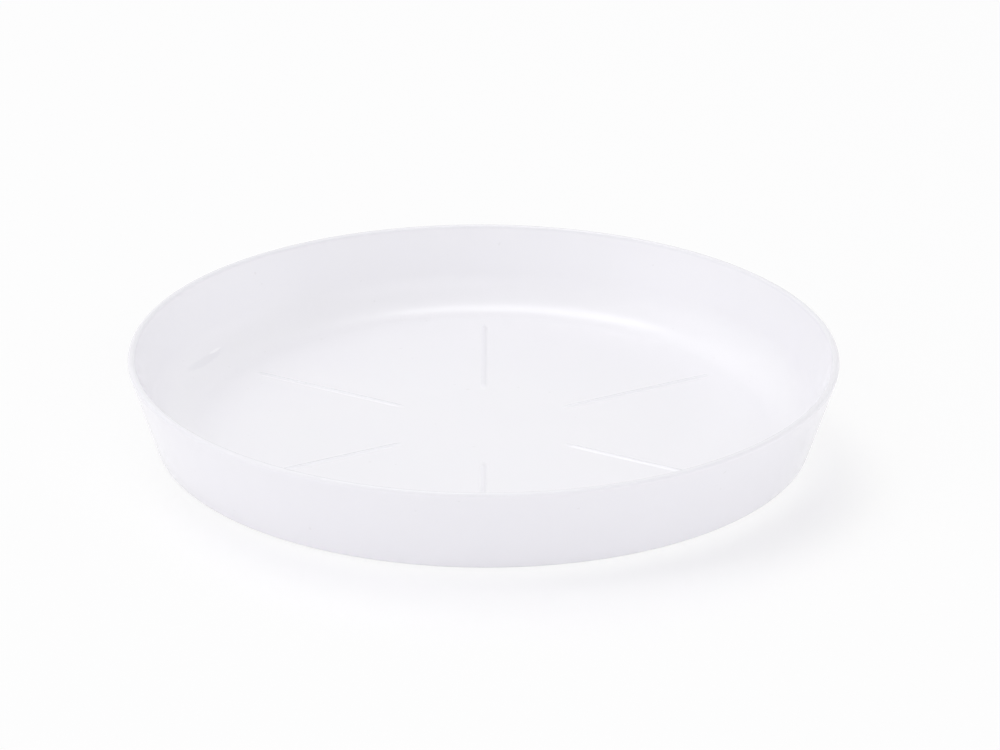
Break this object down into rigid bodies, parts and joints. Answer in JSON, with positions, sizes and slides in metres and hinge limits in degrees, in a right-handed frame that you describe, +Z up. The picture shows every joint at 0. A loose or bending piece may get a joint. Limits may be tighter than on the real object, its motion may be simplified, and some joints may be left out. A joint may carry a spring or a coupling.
{
  "type": "plant saucer",
  "caption": "Low round plant saucer with a flared wall, a narrow rounded rim, low radial ribs on its floor, and stick-on pads under its base.",
  "frame": {"origin": "on the saucer's axis, on the surface that it stands on", "axes": "+Z up along the saucer's axis; +X and +Y lie in the floor plane, with a pair of ribs along Y"},
  "size_m": [0.1994, 0.1994, 0.025],
  "materials": {
    "shell": "semi-gloss",
    "pad": "matte"
  },
  "bodies": {
    "root": {"saucer_shell": "shell", "foot_pad_1": "pad", "foot_pad_2": "pad", "foot_pad_3": "pad", "foot_pad_4": "pad", "foot_pad_5": "pad", "foot_pad_6": "pad"}
  },
  "joints": []
}
